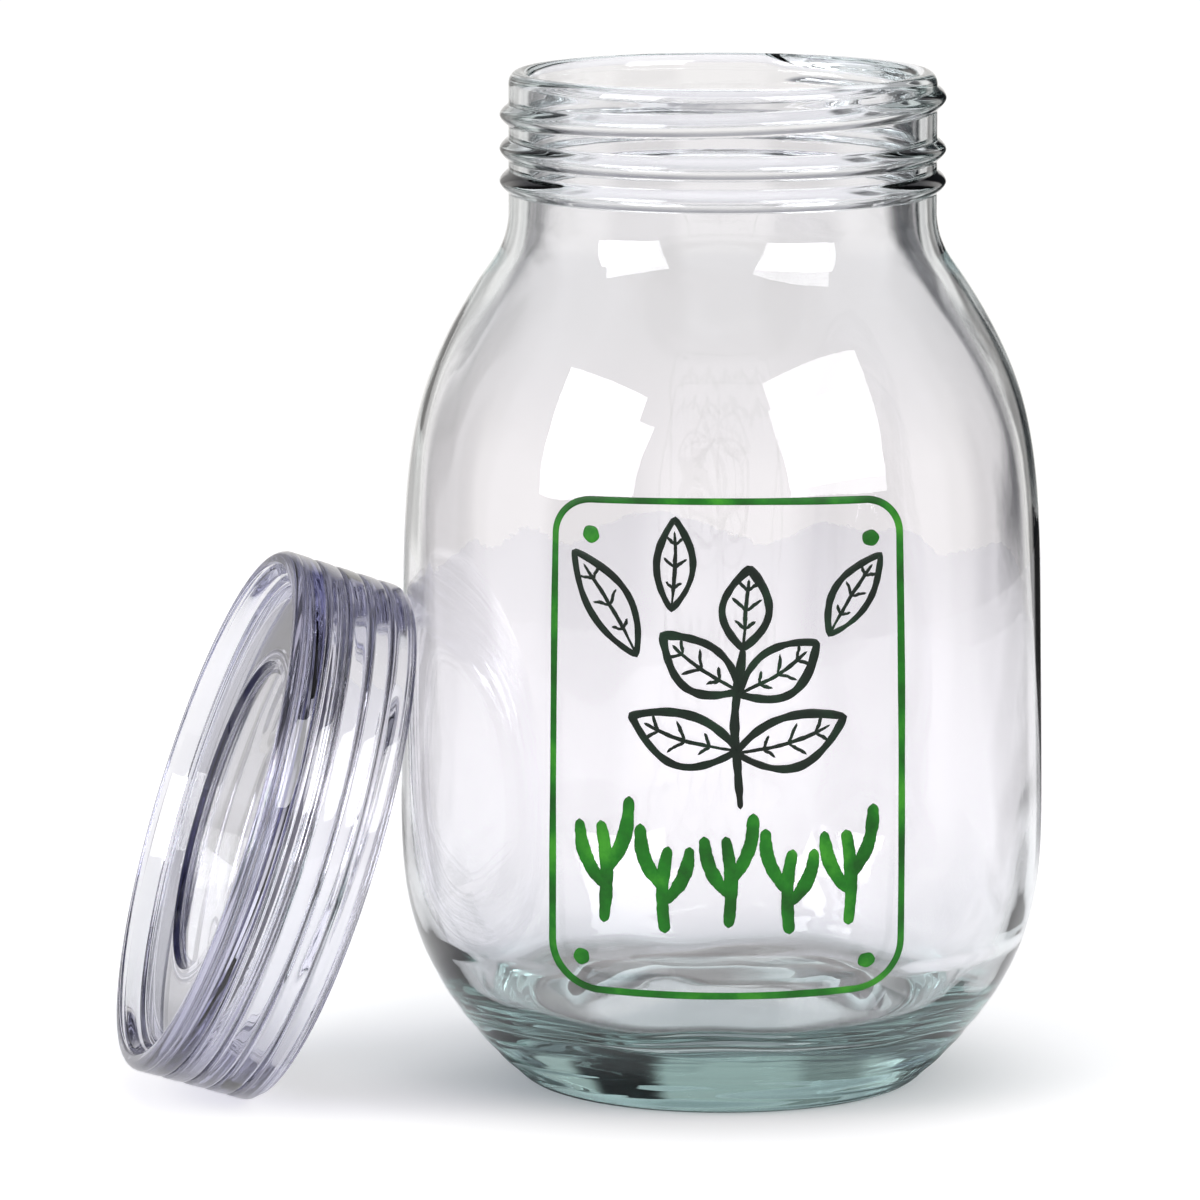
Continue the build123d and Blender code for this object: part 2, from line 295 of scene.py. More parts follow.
# ------------------------------------------------------------------ lid
LID_H, LID_R0, LID_R1, EDGE_W = 24.4, 50.8, 51.1, 22.3
LID_IN, CEIL_W = 43.2, 16.9
RECESS_W, RECESS_R0, RECESS_R1 = 19.8, 45.6, 48.3
RING_R, RING_D = 30.3, 1.3
GROOVE = 1.0


def skirt_r(w):
    return LID_R0 + (LID_R1 - LID_R0) * w / EDGE_W


def lid_mesh(place):
    out = []
    out += list(rounded([(0, RECESS_W - RING_D), (RING_R - 0.2, RECESS_W - RING_D, 0.12), (RING_R, RECESS_W, 0.12),
                         (RECESS_R0, RECESS_W, 2.2), (RECESS_R1 - 0.6, RECESS_W + 3.2, 1.0), (RECESS_R1, LID_H, 0.6), (LID_R1 - 1.7, LID_H)], 1.5))
    # rounded top edge
    c = np.array([LID_R1 - 1.7, EDGE_W])
    for a in np.linspace(math.pi / 2, 0, 12)[1:]:
        out.append(c + np.array([1.7 * math.cos(a), 2.1 * math.sin(a)]))
    # five rounded bands down the skirt, with narrow grooves between them
    w0 = np.linspace(EDGE_W, 0.9, 6)
    for a, b in zip(w0[:-1], w0[1:]):
        for t in np.r_[0.012, 0.03, 0.055, 0.085, 0.12, 0.16, 0.21, 0.27, 0.35, 0.43, 0.5, 0.57, 0.65, 0.73, 0.79, 0.84, 0.88, 0.915, 0.945, 0.97, 0.988, 1.0]:
            w = a + (b - a) * t
            d = GROOVE * (abs(2 * t - 1) ** 8) + 0.06 * (2 * t - 1) ** 2
            if a == EDGE_W and t < 0.5:
                d *= 0.1
            out.append(np.array([skirt_r(w) - d, w]))
    r_end = skirt_r(0.9) - GROOVE
    out += list(rounded([(r_end, 0.9), (r_end - 0.15, 0.0, 0.5), (LID_IN + 0.8, 0.0, 0.6), (LID_IN, 1.2, 0.6), (LID_IN, 13.9)], 0.5)[1:])
    out += list(rounded([(LID_IN, 13.9), (42.55, 14.35, 0.2), (42.55, 14.65, 0.2), (LID_IN, 15.1, 0.2), (LID_IN, CEIL_W, 0.3), (32.5, CEIL_W, 0.2),
                         (32.4, 15.4, 0.3), (31.4, 15.4, 0.3), (31.3, CEIL_W, 0.3), (29.0, CEIL_W, 0.4), (28.4, RECESS_W - 2.4, 0.4), (0, RECESS_W - 2.4)], 1.5)[1:])
    P = np.array(out)
    seg = 256
    ph = np.arange(seg) / seg * 2 * math.pi
    R = np.repeat(P[:, 0:1], seg, 1)
    Z = np.repeat(P[:, 1:2], seg, 1)
    # the thread inside: three interrupted lengths of one helix
    inside = (np.abs(R - LID_IN) < 0.02) & (Z > 1.7) & (Z < 13.8)
    deg = np.degrees(ph)[None, :]
    add = np.zeros_like(R)
    for a0, a1 in LID_THREADS:
        for k in (-360, 0, 360):
            a = deg + k
            on = smooth_step(a, a0, a0 + 9) * (1 - smooth_step(a, a1 - 9, a1))
            zc = LID_THREAD_W0 + 6.8 * (a - LID_THREADS[0][0]) / 360
            add = np.maximum(add, 1.5 * bump(Z - zc, 1.5) * on)
    R = R - np.where(inside, add, 0)
    ob = lathe("lid_shell", R, Z, seg, place)
    # painted shade: the wall of the step round the middle, and the bottoms of the grooves, are marked to be coloured
    # near black
    painted_shade_mask = np.zeros(len(P))
    painted_shade_mask[(np.abs(P[:, 0] - RING_R + 0.1) < 0.14) & (P[:, 1] > RECESS_W - RING_D + 0.02) & (P[:, 1] < RECESS_W - 0.02)] = 1.0
    on_skirt = (P[:, 0] > 49.0) & (P[:, 1] < EDGE_W - 1.0) & (P[:, 1] > 0.95)
    deep = np.where(on_skirt, (skirt_r(P[:, 1]) - P[:, 0]) / GROOVE, 0)
    painted_shade_mask = np.maximum(painted_shade_mask, np.clip((deep - 0.40) / 0.4, 0, 1) * 0.85)
    values = np.r_[painted_shade_mask[0], np.repeat(painted_shade_mask[1:-1], seg), painted_shade_mask[-1]]
    at = ob.data.attributes.new("lid_painted_shade", "FLOAT", "POINT")
    at.data.foreach_set("value", values.astype(np.float32))
    return ob


LID_THREAD_W0 = 3.4
LID_THREADS = ((40.0, 120.0), (160.0, 240.0), (280.0, 360.0))
n = LID_N
side = np.cross([0, 0, 1], n)
side /= np.linalg.norm(side)
upv = np.cross(n, side)
lid_place = np.eye(4)
lid_place[:3, 0], lid_place[:3, 1], lid_place[:3, 2], lid_place[:3, 3] = upv, side, n, LID_O
lid = lid_mesh(lid_place)


def seal_mesh(place):
    # a flat ring with two raised sealing lines on its lower face
    def sec(t0, t1, k):
        return [(37.0 + 5.9 * t, 0) for t in np.linspace(t0, t1, k)]
    pts = []
    r0, r1, a, b, f = 33.05, 42.85, 15.1, 16.7, 0.35
    seg = 192
    for x in np.linspace(r0 + f, r1 - f, 40):
        dip = 0.0
        for c in (36.6, 38.6, 40.6):
            dip = max(dip, 0.0 + 0.22 * math.exp(-((x - c) / 0.28) ** 2))
        pts.append((x, a + 0.18 - dip))
    for t in np.linspace(-math.pi / 2, 0, 6)[1:]:
        pts.append((r1 - f + f * math.cos(t), a + 0.18 + f + f * math.sin(t)))
    for t in np.linspace(0, math.pi / 2, 6):
        pts.append((r1 - f + f * math.cos(t), b - f + f * math.sin(t)))
    for x in np.linspace(r1 - f, r0 + f, 14)[1:]:
        pts.append((x, b))
    for t in np.linspace(math.pi / 2, math.pi, 6)[1:]:
        pts.append((r0 + f + f * math.cos(t), b - f + f * math.sin(t)))
    for t in np.linspace(math.pi, 1.5 * math.pi, 6)[:-1]:
        pts.append((r0 + f + f * math.cos(t), a + 0.18 + f + f * math.sin(t)))
    ph = np.arange(seg) / seg * 2 * math.pi
    k = len(pts)
    verts = [(r * math.cos(p), r * math.sin(p), w) for r, w in pts for p in ph]
    verts = np.array(verts) * MM @ place[:3, :3].T + place[:3, 3]
    faces = []
    for i in range(k):
        for j in range(seg):
            faces.append((i * seg + j, i * seg + (j + 1) % seg, ((i + 1) % k) * seg + (j + 1) % seg, ((i + 1) % k) * seg + j))
    ob = make_mesh("lid_seal_ring", verts, faces)
    fix_normals(ob)
    return ob


seal = seal_mesh(lid_place)

# ------------------------------------------------------------------ print
GAP, TH = 0.035, 0.11


def on_glass(x, z, h):
    """The point on the jar's front whose x and z are these, h above the glass. mm in, metres out."""
    x, z = np.asarray(x, float), np.asarray(z, float)
    r = np.interp(z, oz, orr)
    y = -np.sqrt(np.maximum(r * r - x * x, 1))
    ph = np.arctan2(y, x) % (2 * math.pi)
    rr = outer_r(ph, z) + h
    nx, ny = x / r, y / r
    return np.stack([nx * rr, ny * rr, z + 0 * x], -1) * MM


SEC = np.array([(-1.0, 0.0), (-0.93, 0.55), (-0.72, 0.9), (-0.3, 1.0), (0.3, 1.0), (0.72, 0.9), (0.93, 0.55), (1.0, 0.0)])


class Ink:
    def __init__(self):
        self.v, self.f = [], []

    def ribbon(self, pts, width, closed=False, wob=0.12, seed=0, step=0.45, taper=0.35):
        """A brush line along pts in (x, z), of varying width, as a thin raised film."""
        P = np.array(pts, float)
        if closed:
            P = np.vstack([P, P[:1]])
        d = np.hypot(*np.diff(P, axis=0).T)
        s = np.r_[0, np.cumsum(d)]
        keep = np.r_[True, d > 1e-6]
        P, s = P[keep], s[keep]
        L = s[-1]
        k = max(8, int(L / step))
        u = np.linspace(0, L, k + 1)
        if closed:
            u = u[:-1]
        X = np.stack([np.interp(u, s, P[:, 0]), np.interp(u, s, P[:, 1])], -1)
        if closed:
            T = np.roll(X, -1, 0) - np.roll(X, 1, 0)
        else:
            T = np.gradient(X, axis=0)
        T /= np.hypot(*T.T)[:, None]
        N = np.stack([-T[:, 1], T[:, 0]], -1)
        g = np.random.default_rng(100 + seed)
        w = np.zeros(len(u))
        o = np.zeros(len(u))
        for f in (1, 2, 3, 5, 8, 13):
            ph_ = g.uniform(0, 6.28)
            w += g.uniform(0.4, 1) * np.sin(2 * math.pi * f * u / L + ph_) / f**0.35
            o += g.uniform(0.4, 1) * np.sin(2 * math.pi * f * u / L + g.uniform(0, 6.28)) / f
        W = np.interp(u / L, np.linspace(0, 1, len(np.atleast_1d(width))), np.atleast_1d(width)) if np.size(width) > 1 else np.full(len(u), float(width))
        W = W / 2 * (1 + wob * w)
        X = X + N * (o * 0.08 * wob / 0.12)[:, None]
        if not closed:
            e = W.mean() * 1.0
            a = np.clip(u / e, 0, 1)
            b = np.clip((L - u) / e, 0, 1)
            cap = np.sqrt(np.clip(1 - (1 - a) ** 2, 0, 1)) * np.sqrt(np.clip(1 - (1 - b) ** 2, 0, 1))
            tp = (1 - taper) + taper * np.sin(math.pi * np.clip(u / L, 0, 1)) ** 0.6
            W = W * np.maximum(cap, 0.12) * tp
        base = len(self.v)
        m = len(SEC)
        for c, hh in SEC:
            pass
        rows = []
        for i in range(len(u)):
            for c, hh in SEC:
                rows.append((X[i, 0] + N[i, 0] * W[i] * c, X[i, 1] + N[i, 1] * W[i] * c, GAP + TH * hh * min(1, W[i] / 0.25)))
        rows = np.array(rows)
        self.v += [tuple(p) for p in on_glass(rows[:, 0], rows[:, 1], rows[:, 2])]
        q = len(u)
        for i in range(q if closed else q - 1):
            a0, b0 = base + i * m, base + ((i + 1) % q) * m
            for j in range(m):
                j2 = (j + 1) % m
                self.f.append((a0 + j, a0 + j2, b0 + j2, b0 + j))
        if not closed:
            self.f.append(tuple(base + j for j in range(m))[::-1])
            self.f.append(tuple(base + (q - 1) * m + j for j in range(m)))

    def dot(self, x, z, r, seed=0):
        g = np.random.default_rng(300 + seed)
        a = np.linspace(0, 2 * math.pi, 41)[:-1]
        wob = 1 + 0.05 * np.sin(2 * a + g.uniform(0, 6)) + 0.03 * np.sin(5 * a + g.uniform(0, 6))
        base = len(self.v)
        rings = [(1.0, 0.0), (0.96, 0.6), (0.85, 0.95), (0.6, 1.0), (0.3, 1.0)]
        pts = []
        for s, hh in rings:
            for t, q in zip(a, wob):
                pts.append((x + r * q * s * math.cos(t), z + r * q * s * math.sin(t), GAP + TH * hh))
        pts.append((x, z, GAP + TH))
        pts.append((x, z, GAP))
        pts = np.array(pts)
        self.v += [tuple(p) for p in on_glass(pts[:, 0], pts[:, 1], pts[:, 2])]
        k = len(a)
        for i in range(len(rings) - 1):
            for j in range(k):
                self.f.append((base + i * k + j, base + i * k + (j + 1) % k, base + (i + 1) * k + (j + 1) % k, base + (i + 1) * k + j))
        top = base + len(rings) * k
        for j in range(k):
            self.f.append((base + (len(rings) - 1) * k + j, base + (len(rings) - 1) * k + (j + 1) % k, top))
            self.f.append((base + (j + 1) % k, base + j, top + 1))

    def build(self, name):
        ob = make_mesh(name, self.v, self.f)
        fix_normals(ob)
        return ob


def leaf_outline(base, tip, width, k=40, bend=0.0):
    b, t = np.array(base, float), np.array(tip, float)
    ax = t - b
    L = np.hypot(*ax)
    ax = ax / L
    nx = np.array([ax[1], -ax[0]])
    u = np.linspace(0, 1, k)
    w = width / 2 * np.sin(math.pi * u) ** 0.85 * (1.08 - 0.16 * u)
    mid = b + np.outer(u * L, ax) + np.outer(bend * L * np.sin(math.pi * u), nx)
    right = mid + nx * w[:, None]
    left = mid - nx * w[:, None]
    return np.vstack([right, left[::-1][1:-1]]), mid, nx, ax, L


def draw_leaf(ink, base, tip, width, line, seed, bend=0.0, veins=3, vline=0.7):
    out, mid, nx, ax, L = leaf_outline(base, tip, width, bend=bend)
    ink.ribbon(out, line, closed=True, wob=0.13, seed=seed)
    k = len(mid)
    ink.ribbon(mid[int(k * 0.04):int(k * 0.88)], vline, seed=seed + 1, taper=0.5)
    for i in range(veins):
        u = 0.24 + 0.46 * i / max(1, veins - 1)
        p = mid[int(k * u)]
        w = width / 2 * math.sin(math.pi * u) * 0.66
        for s in (1, -1):
            q = p + nx * w * s + ax * w * 0.85
            mid_ = (p + q) / 2 + ax * w * 0.05
            ink.ribbon([p, mid_, q], vline * 0.85, seed=seed + 10 + i * 2 + s, taper=0.6)


# frame line: hand drawn, wider bottom corners
def frame_line():
    xl_t, xl_b, xr_t, xr_b = -31.3, -31.9, 32.0, 32.6
    zt, zb = 119.0, 27.1
    pts = []
    def corner(cx, cz, r, a0, a1, k=14):
        for t in np.linspace(math.radians(a0), math.radians(a1), k):
            pts.append((cx + r * math.cos(t), cz + r * math.sin(t)))
    rt, rb = 6.6, 9.2
    corner(xr_t - rt, zt - rt, rt, 90, 0)
    for t in np.linspace(0, 1, 30)[1:-1]:
        pts.append((xr_t + (xr_b - xr_t) * t + 0.25 * math.sin(3.1 * t), zt - rt + (zb + rb - zt + rt) * t))
    corner(xr_b - rb, zb + rb, rb, 0, -90)
    for t in np.linspace(0, 1, 24)[1:-1]:
        pts.append((xr_b - rb + (xl_b + rb - xr_b + rb) * t, zb - 0.35 * math.sin(math.pi * t)))
    corner(xl_b + rb, zb + rb, rb, 270, 180)
    for t in np.linspace(0, 1, 30)[1:-1]:
        pts.append((xl_b + (xl_t - xl_b) * t - 0.2 * math.sin(3.1 * t), zb + rb + (zt - rt - zb - rb) * t))
    corner(xl_t + rt, zt - rt, rt, 180, 90)
    for t in np.linspace(0, 1, 24)[1:-1]:
        pts.append((xl_t + rt + (xr_t - rt - xl_t - rt) * t, zt + 0.3 * math.sin(math.pi * t)))
    return pts


ink_border = Ink()
ink_border.ribbon(frame_line(), 1.3, closed=True, wob=0.10, seed=1, step=0.5)
border = ink_border.build("print_frame_line")

ink_dots = Ink()
for i, (x, z) in enumerate([(-24.8, 112.7), (26.5, 111.9), (-26.6, 33.5), (26.1, 32.8)]):
    ink_dots.dot(x, z, 1.55, i)
dots = ink_dots.build("print_four_dots")

ink_leaves = Ink()
for i, (a, b, w, bend) in enumerate([((-16.6, 90.9), (-27.9, 109.4), 7.6, 0.03), ((-10.1, 99.4), (-9.5, 116.0), 6.6, 0.02), ((19.0, 94.6), (28.3, 108.7), 6.8, -0.03)]):
    draw_leaf(ink_leaves, a, b, w, 1.25, 20 + i * 20, bend, 3, 0.75)
leaves = ink_leaves.build("print_three_leaves")

ink_sprig = Ink()
stem = spline_curve([(2.6, 62.5), (2.0, 70.0), (1.6, 78.0), (2.2, 86.0), (3.0, 92.5)], 0.5)
ink_sprig.ribbon(stem, 1.7, seed=90, taper=0.25)
for i, (a, b, w, bend) in enumerate([((3.0, 92.5), (4.2, 107.0), 8.6, 0.0), ((2.3, 84.5), (-11.5, 94.5), 9.0, -0.05), ((2.4, 84.0), (16.5, 93.0), 9.0, 0.05),
                                     ((1.8, 73.5), (-17.5, 79.5), 9.6, -0.06), ((1.9, 73.0), (21.5, 79.0), 9.6, 0.06)]):
    draw_leaf(ink_sprig, a, b, w, 1.5, 120 + i * 20, bend, 3, 0.8)
sprig = ink_sprig.build("print_leafy_sprig")

ink_sprouts = Ink()
for i, (x, z, h, s) in enumerate([(-22.5, 40.5, 24.0, 1.0), (-11.2, 39.0, 20.5, -1.0), (0.4, 40.2, 21.5, 1.0), (11.8, 38.8, 20.0, -1.0), (22.6, 40.0, 22.5, 1.0)]):
    st = spline_curve([(x, z), (x + 0.5 * s, z + h * 0.3), (x + 0.2 * s, z + h * 0.6), (x - 0.6 * s, z + h * 0.8)], 0.5)
    a = spline_curve([(x + 0.4 * s, z + h * 0.40), (x + 2.6 * s, z + h * 0.56), (x + 4.3 * s, z + h * 0.78), (x + 4.6 * s, z + h)], 0.5)
    b = spline_curve([(x + 0.2 * s, z + h * 0.28), (x - 2.2 * s, z + h * 0.42), (x - 3.9 * s, z + h * 0.60), (x - 4.5 * s, z + h * 0.80)], 0.5)
    ink_sprouts.ribbon(st, 2.4, wob=0.06, seed=200 + i, taper=0.2)
    ink_sprouts.ribbon(a, [2.0, 2.6, 2.6, 2.2], wob=0.06, seed=220 + i, taper=0.2)
    ink_sprouts.ribbon(b, [2.0, 2.6, 2.5, 2.2], wob=0.06, seed=240 + i, taper=0.2)
sprouts = ink_sprouts.build("print_green_sprouts")


# ------------------------------------------------------------------ materials
def new_material(name):
    m = bpy.data.materials.new(name)
    m.use_nodes = True
    nt = m.node_tree
    nt.nodes.clear()
    out = nt.nodes.new("ShaderNodeOutputMaterial")
    return m, nt, out


def add_noise(nt, scale, detail=3.0, rough=0.5, coords="Object"):
    tc = nt.nodes.new("ShaderNodeTexCoord")
    nz = nt.nodes.new("ShaderNodeTexNoise")
    nz.inputs["Scale"].default_value = scale
    nz.inputs["Detail"].default_value = detail
    nz.inputs["Roughness"].default_value = rough
    nt.links.new(tc.outputs[coords], nz.inputs["Vector"])
    return nz


def clear_material(name, ior, absorb, density, tint, shadow, rough_lo, rough_hi, bump_scale, bump_strength, bump_dist):
    m, nt, out = new_material(name)
    b = nt.nodes.new("ShaderNodeBsdfPrincipled")
    b.inputs["Base Color"].default_value = (*tint, 1)
    b.inputs["Transmission Weight"].default_value = 1.0
    b.inputs["IOR"].default_value = ior
    nz = add_noise(nt, bump_scale, 4.0)
    mr = nt.nodes.new("ShaderNodeMapRange")
    mr.inputs["From Min"].default_value = 0.45
    mr.inputs["From Max"].default_value = 0.8
    mr.inputs["To Min"].default_value = rough_lo
    mr.inputs["To Max"].default_value = rough_hi
    nt.links.new(nz.outputs["Fac"], mr.inputs["Value"])
    nt.links.new(mr.outputs["Result"], b.inputs["Roughness"])
    if bump_strength:
        bp = nt.nodes.new("ShaderNodeBump")
        bp.inputs["Strength"].default_value = bump_strength
        bp.inputs["Distance"].default_value = bump_dist
        nt.links.new(nz.outputs["Fac"], bp.inputs["Height"])
        nt.links.new(bp.outputs["Normal"], b.inputs["Normal"])
    t = nt.nodes.new("ShaderNodeBsdfTransparent")
    t.inputs["Color"].default_value = (*shadow, 1)
    lp = nt.nodes.new("ShaderNodeLightPath")
    mix = nt.nodes.new("ShaderNodeMixShader")
    nt.links.new(lp.outputs["Is Shadow Ray"], mix.inputs[0])
    nt.links.new(b.outputs[0], mix.inputs[1])
    nt.links.new(t.outputs[0], mix.inputs[2])
    nt.links.new(mix.outputs[0], out.inputs["Surface"])
    v = nt.nodes.new("ShaderNodeVolumeAbsorption")
    v.inputs["Color"].default_value = (*absorb, 1)
    v.inputs["Density"].default_value = density
    nt.links.new(v.outputs[0], out.inputs["Volume"])
    return m


glass = clear_material("soda_lime_glass", 1.52, (0.34, 0.565, 0.54), 20.0, (0.985, 0.965, 0.985), (0.91, 0.925, 0.93), 0.0, 0.012, 90.0, 0.03, 0.0006)
def paint_shade_from_mask(m, colour):
    """Paints shade: the base colour goes to this dark colour where the mesh's painted-shade mark says so."""
    nt = m.node_tree
    b = next(q for q in nt.nodes if q.type == "BSDF_PRINCIPLED")
    a = nt.nodes.new("ShaderNodeAttribute")
    a.attribute_name = "lid_painted_shade"
    mix = nt.nodes.new("ShaderNodeMix")
    mix.data_type = "RGBA"
    mix.inputs["A"].default_value = tuple(b.inputs["Base Color"].default_value)
    mix.inputs["B"].default_value = (*colour, 1)
    nt.links.new(a.outputs["Fac"], mix.inputs["Factor"])
    nt.links.new(mix.outputs["Result"], b.inputs["Base Color"])


plastic = clear_material("clear_polystyrene", 1.58, (0.30, 0.30, 0.58), 26.0, (1.0, 1.0, 1.0), (0.90, 0.90, 0.94), 0.0, 0.02, 160.0, 0.0, 0.0004)


# painted shade: near black in the lid's groove bottoms and on the wall of the step round the middle
paint_shade_from_mask(plastic, (0.0015, 0.0015, 0.006))


def seal_material():
    m, nt, out = new_material("translucent_silicone")
    b = nt.nodes.new("ShaderNodeBsdfPrincipled")
    b.inputs["Transmission Weight"].default_value = 0.75
    b.inputs["IOR"].default_value = 1.41
    nz = add_noise(nt, 300.0, 3.0)
    cr = nt.nodes.new("ShaderNodeValToRGB")
    cr.color_ramp.elements[0].color = (0.24, 0.235, 0.28, 1)
    cr.color_ramp.elements[1].color = (0.36, 0.35, 0.41, 1)
    nt.links.new(nz.outputs["Fac"], cr.inputs["Fac"])
    nt.links.new(cr.outputs["Color"], b.inputs["Base Color"])
    mr = nt.nodes.new("ShaderNodeMapRange")
    mr.inputs["To Min"].default_value = 0.28
    mr.inputs["To Max"].default_value = 0.45
    nt.links.new(nz.outputs["Fac"], mr.inputs["Value"])
    nt.links.new(mr.outputs["Result"], b.inputs["Roughness"])
    bp = nt.nodes.new("ShaderNodeBump")
    bp.inputs["Strength"].default_value = 0.15
    bp.inputs["Distance"].default_value = 0.0001
    nt.links.new(nz.outputs["Fac"], bp.inputs["Height"])
    nt.links.new(bp.outputs["Normal"], b.inputs["Normal"])
    nt.links.new(b.outputs[0], out.inputs["Surface"])
    return m


def ink_material(name, dark, mid, light, lo=0.35, hi=0.72):
    m, nt, out = new_material(name)
    b = nt.nodes.new("ShaderNodeBsdfPrincipled")
    b.inputs["Specular IOR Level"].default_value = 0.25
    nz = add_noise(nt, 120.0, 2.0, 0.45)
    fine = add_noise(nt, 1400.0, 3.0, 0.6)
    add = nt.nodes.new("ShaderNodeMath")
    add.operation = "MULTIPLY_ADD"
    add.inputs[1].default_value = 0.18
    nt.links.new(fine.outputs["Fac"], add.inputs[0])
    nt.links.new(nz.outputs["Fac"], add.inputs[2])
    cr = nt.nodes.new("ShaderNodeValToRGB")
    cr.color_ramp.elements[0].position = lo + 0.09
    cr.color_ramp.elements[0].color = (*dark, 1)
    cr.color_ramp.elements[1].position = hi + 0.09
    cr.color_ramp.elements[1].color = (*light, 1)
    e = cr.color_ramp.elements.new((lo + hi) / 2 + 0.09)
    e.color = (*mid, 1)
    nt.links.new(add.outputs[0], cr.inputs["Fac"])
    nt.links.new(cr.outputs["Color"], b.inputs["Base Color"])
    mr = nt.nodes.new("ShaderNodeMapRange")
    mr.inputs["To Min"].default_value = 0.30
    mr.inputs["To Max"].default_value = 0.55
    nt.links.new(fine.outputs["Fac"], mr.inputs["Value"])
    nt.links.new(mr.outputs["Result"], b.inputs["Roughness"])
    bp = nt.nodes.new("ShaderNodeBump")
    bp.inputs["Strength"].default_value = 0.25
    bp.inputs["Distance"].default_value = 0.00004
    nt.links.new(fine.outputs["Fac"], bp.inputs["Height"])
    nt.links.new(bp.outputs["Normal"], b.inputs["Normal"])
    nt.links.new(b.outputs[0], out.inputs["Surface"])
    return m


silicone = seal_material()
green = ink_material("green_screen_ink", (0.001, 0.055, 0.001), (0.004, 0.115, 0.003), (0.03, 0.21, 0.01))
dark = ink_material("dark_green_screen_ink", (0.0006, 0.004, 0.0015), (0.001, 0.008, 0.003), (0.004, 0.022, 0.008))

for ob, m in ((jar, glass), (lid, plastic), (seal, silicone), (border, green), (dots, green), (leaves, dark), (sprig, dark), (sprouts, green)):
    ob.data.materials.clear()
    ob.data.materials.append(m)

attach(jar, "jar")
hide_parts("glass_jar")
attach(lid, "lid")
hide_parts("screw_lid")
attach(seal, "seal")
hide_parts("seal_ring")
for ob, node, slot in ((border, "print_border", "green_ink"), (dots, "print_corner_dots", "green_ink"), (leaves, "print_leaves", "dark_ink"),
                       (sprig, "print_sprig", "dark_ink"), (sprouts, "print_sprouts", "green_ink")):
    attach(ob, "jar")
    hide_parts(node)

# ------------------------------------------------------------------ studio
FLOOR_GLOW_AND_SHADOW = ((0.030, 0.0), (0.075, 0.31), (0.12, 0.42), (0.70, 0.62))      # own light by radius, as the camera sees it: it lifts the floor to even white, and its fall to nothing towards the jar paints a shadow round the foot
FLOOR_BACK_GLOW_AND_SHADOW = ((0.026, 0.34), (0.040, 0.15), (0.060, 0.24), (0.10, 0.27), (0.20, 0.30), (0.40, 0.34))      # and as seen through the glass, with less glow near the jar and a painted dark ring round the foot


# 1 inside the black flags, by compass angle: 0 is behind the object, positive to its right. No flags are built: they
# are dark bands in the world's light, and painted dark bands on the floor that only rays other than camera rays see
FLAGS = ((-180, 0.0), (-158, 0.0), (-150, 1.0), (-118, 1.0), (-110, 0.0), (-78, 0.0), (-72, 0.95), (-44, 0.95), (-38, 0.0), (-28, 0.0), (-24, 0.45), (-14, 0.45), (-11, 0.0),
         (10, 0.0), (13, 1.0), (26, 1.0), (29, 0.0), (38, 0.0), (42, 1.0), (72, 1.0), (78, 0.0), (110, 0.0), (118, 1.0), (150, 1.0), (158, 0.0), (180, 0.0))


def flag_ramp(nt, angle):
    """1 where a flag stands at this compass angle, in radians."""
    fit = nt.nodes.new("ShaderNodeMath")
    fit.operation = "MULTIPLY_ADD"
    fit.inputs[1].default_value, fit.inputs[2].default_value = 0.5 / math.pi, 0.5
    nt.links.new(angle, fit.inputs[0])
    ramp = nt.nodes.new("ShaderNodeValToRGB")
    nt.links.new(fit.outputs[0], ramp.inputs["Fac"])
    stops = ramp.color_ramp.elements
    stops[0].position, stops[0].color = 0.0, (FLAGS[0][1],) * 3 + (1,)
    stops[1].position, stops[1].color = 1.0, (FLAGS[-1][1],) * 3 + (1,)
    for ang, v in FLAGS[1:-1]:
        e = stops.new((ang + 180) / 360)
        e.color = (v, v, v, 1)
    return ramp.outputs["Color"]


